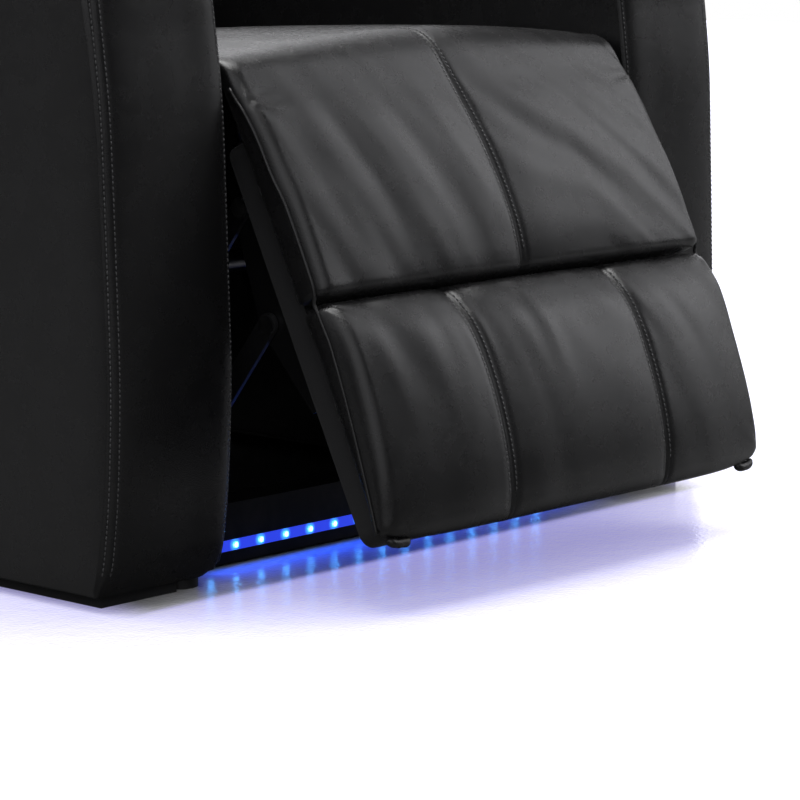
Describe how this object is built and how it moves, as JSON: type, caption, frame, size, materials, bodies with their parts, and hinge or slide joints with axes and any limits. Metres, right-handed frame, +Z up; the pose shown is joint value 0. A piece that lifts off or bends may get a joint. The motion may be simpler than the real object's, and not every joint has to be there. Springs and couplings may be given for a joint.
{
  "type": "power recliner chair",
  "caption": "Black leather home cinema recliner with padded arms, a pantograph leg rest shown partly open, a reclining back, a switch panel and a lit rail under the seat.",
  "frame": {"origin": "On the floor at the middle of the chair's footprint, with the leg rest as modelled", "axes": "+X towards the left hand of a person sitting in the chair, +Y towards the back, +Z up"},
  "size_m": [0.852, 1.067, 1.0987],
  "materials": {
    "black_leather": "satin",
    "black_board": "matte",
    "plywood": "matte",
    "black_steel": "satin",
    "zinc_steel": "satin",
    "black_plastic": "matte",
    "button_plastic": "satin",
    "light_tape": "satin",
    "blue_light": "gloss",
    "webbing": "matte"
  },
  "bodies": {
    "base": {"arm_boards": "plywood", "floor_glides": "black_plastic", "frame_bolts": "zinc_steel", "front_cross_rail": "black_steel", "gear_motor": "black_plastic", "kick_rail": "black_steel", "left_arm_front_panel": "black_leather", "left_arm_inner_panel": "black_leather", "left_arm_outer_panel": "black_leather", "left_arm_plinth": "black_board", "left_arm_rear_panel": "black_leather", "left_arm_top_pad": "black_leather", "left_side_plate": "black_steel", "left_side_rail": "black_steel", "light_chips": "blue_light", "light_strip": "light_tape", "motor_bracket": "black_steel", "power_inlet": "black_plastic", "rear_cross_rail": "black_steel", "rear_lower_panel": "black_leather", "right_arm_front_panel": "black_leather", "right_arm_inner_panel": "black_leather", "right_arm_outer_panel": "black_leather", "right_arm_plinth": "black_board", "right_arm_rear_panel": "black_leather", "right_arm_top_pad": "black_leather", "right_side_plate": "black_steel", "right_side_rail": "black_steel", "seat_cushion": "black_leather", "seat_front_rail": "black_steel", "seat_rear_rail": "black_steel", "seat_webbing": "webbing", "switch_plate": "black_plastic"},
    "leg_rest": {"footrest_board": "black_board", "calf_pad": "black_leather", "foot_pad": "black_leather", "board_screws": "zinc_steel", "left_footrest_bracket": "black_steel", "right_footrest_bracket": "black_steel"},
    "long_links": {"left_long_link": "zinc_steel", "right_long_link": "zinc_steel"},
    "crank_links": {"left_crank_link": "zinc_steel", "right_crank_link": "zinc_steel", "torque_shaft": "zinc_steel"},
    "cross_links": {"left_cross_link": "zinc_steel", "right_cross_link": "zinc_steel"},
    "front_links": {"left_front_link": "zinc_steel", "right_front_link": "zinc_steel"},
    "back": {"left_back_upright": "black_steel", "right_back_upright": "black_steel", "back_top_rail": "black_steel", "back_board": "plywood", "back_rear_panel": "black_leather", "back_side_panels": "black_leather", "back_top_panel": "black_leather", "lumbar_cushion": "black_leather", "upper_back_cushion": "black_leather", "head_pillow": "black_leather"},
    "open_button": {"open_button": "button_plastic"},
    "close_button": {"close_button": "button_plastic"}
  },
  "joints": [
    {"name": "leg_rest_hinge", "type": "hinge", "parent": "base", "child": "leg_rest", "pos_m": [0, -0.30404, 0.44], "axis": [-1, 0, 0], "range_deg": [-20, 62]},
    {"name": "long_link_pivot", "type": "hinge", "parent": "base", "child": "long_links", "pos_m": [0, -0.23677, 0.35296], "axis": [-1, 0, 0], "range_deg": [-20, 62]},
    {"name": "crank_pivot", "type": "hinge", "parent": "base", "child": "crank_links", "pos_m": [0, -0.1695, 0.26593], "axis": [-1, 0, 0], "range_deg": [-20, 62]},
    {"name": "cross_link_pivot", "type": "hinge", "parent": "long_links", "child": "cross_links", "pos_m": [0, -0.26932, 0.25202], "axis": [1, 0, 0], "range_deg": [-20, 62]},
    {"name": "front_link_pivot", "type": "hinge", "parent": "long_links", "child": "front_links", "pos_m": [0, -0.30186, 0.15107], "axis": [1, 0, 0], "range_deg": [-20, 62]},
    {"name": "back_hinge", "type": "hinge", "parent": "base", "child": "back", "pos_m": [0, 0.32096, 0.36], "axis": [-1, 0, 0], "range_deg": [0, 45]},
    {"name": "open_button_press", "type": "slide", "parent": "base", "child": "open_button", "axis": [-1, 0, 0], "range_m": [0, 0.0015], "stiffness_N_per_m": 500, "springref_m": -0.0005},
    {"name": "close_button_press", "type": "slide", "parent": "base", "child": "close_button", "axis": [-1, 0, 0], "range_m": [0, 0.0015], "stiffness_N_per_m": 500, "springref_m": -0.0005}
  ],
  "couplings": [
    {"joint": "long_link_pivot", "follows": "leg_rest_hinge", "ratio": 1},
    {"joint": "crank_pivot", "follows": "leg_rest_hinge", "ratio": 1},
    {"joint": "cross_link_pivot", "follows": "leg_rest_hinge", "ratio": 1},
    {"joint": "front_link_pivot", "follows": "leg_rest_hinge", "ratio": 1}
  ]
}
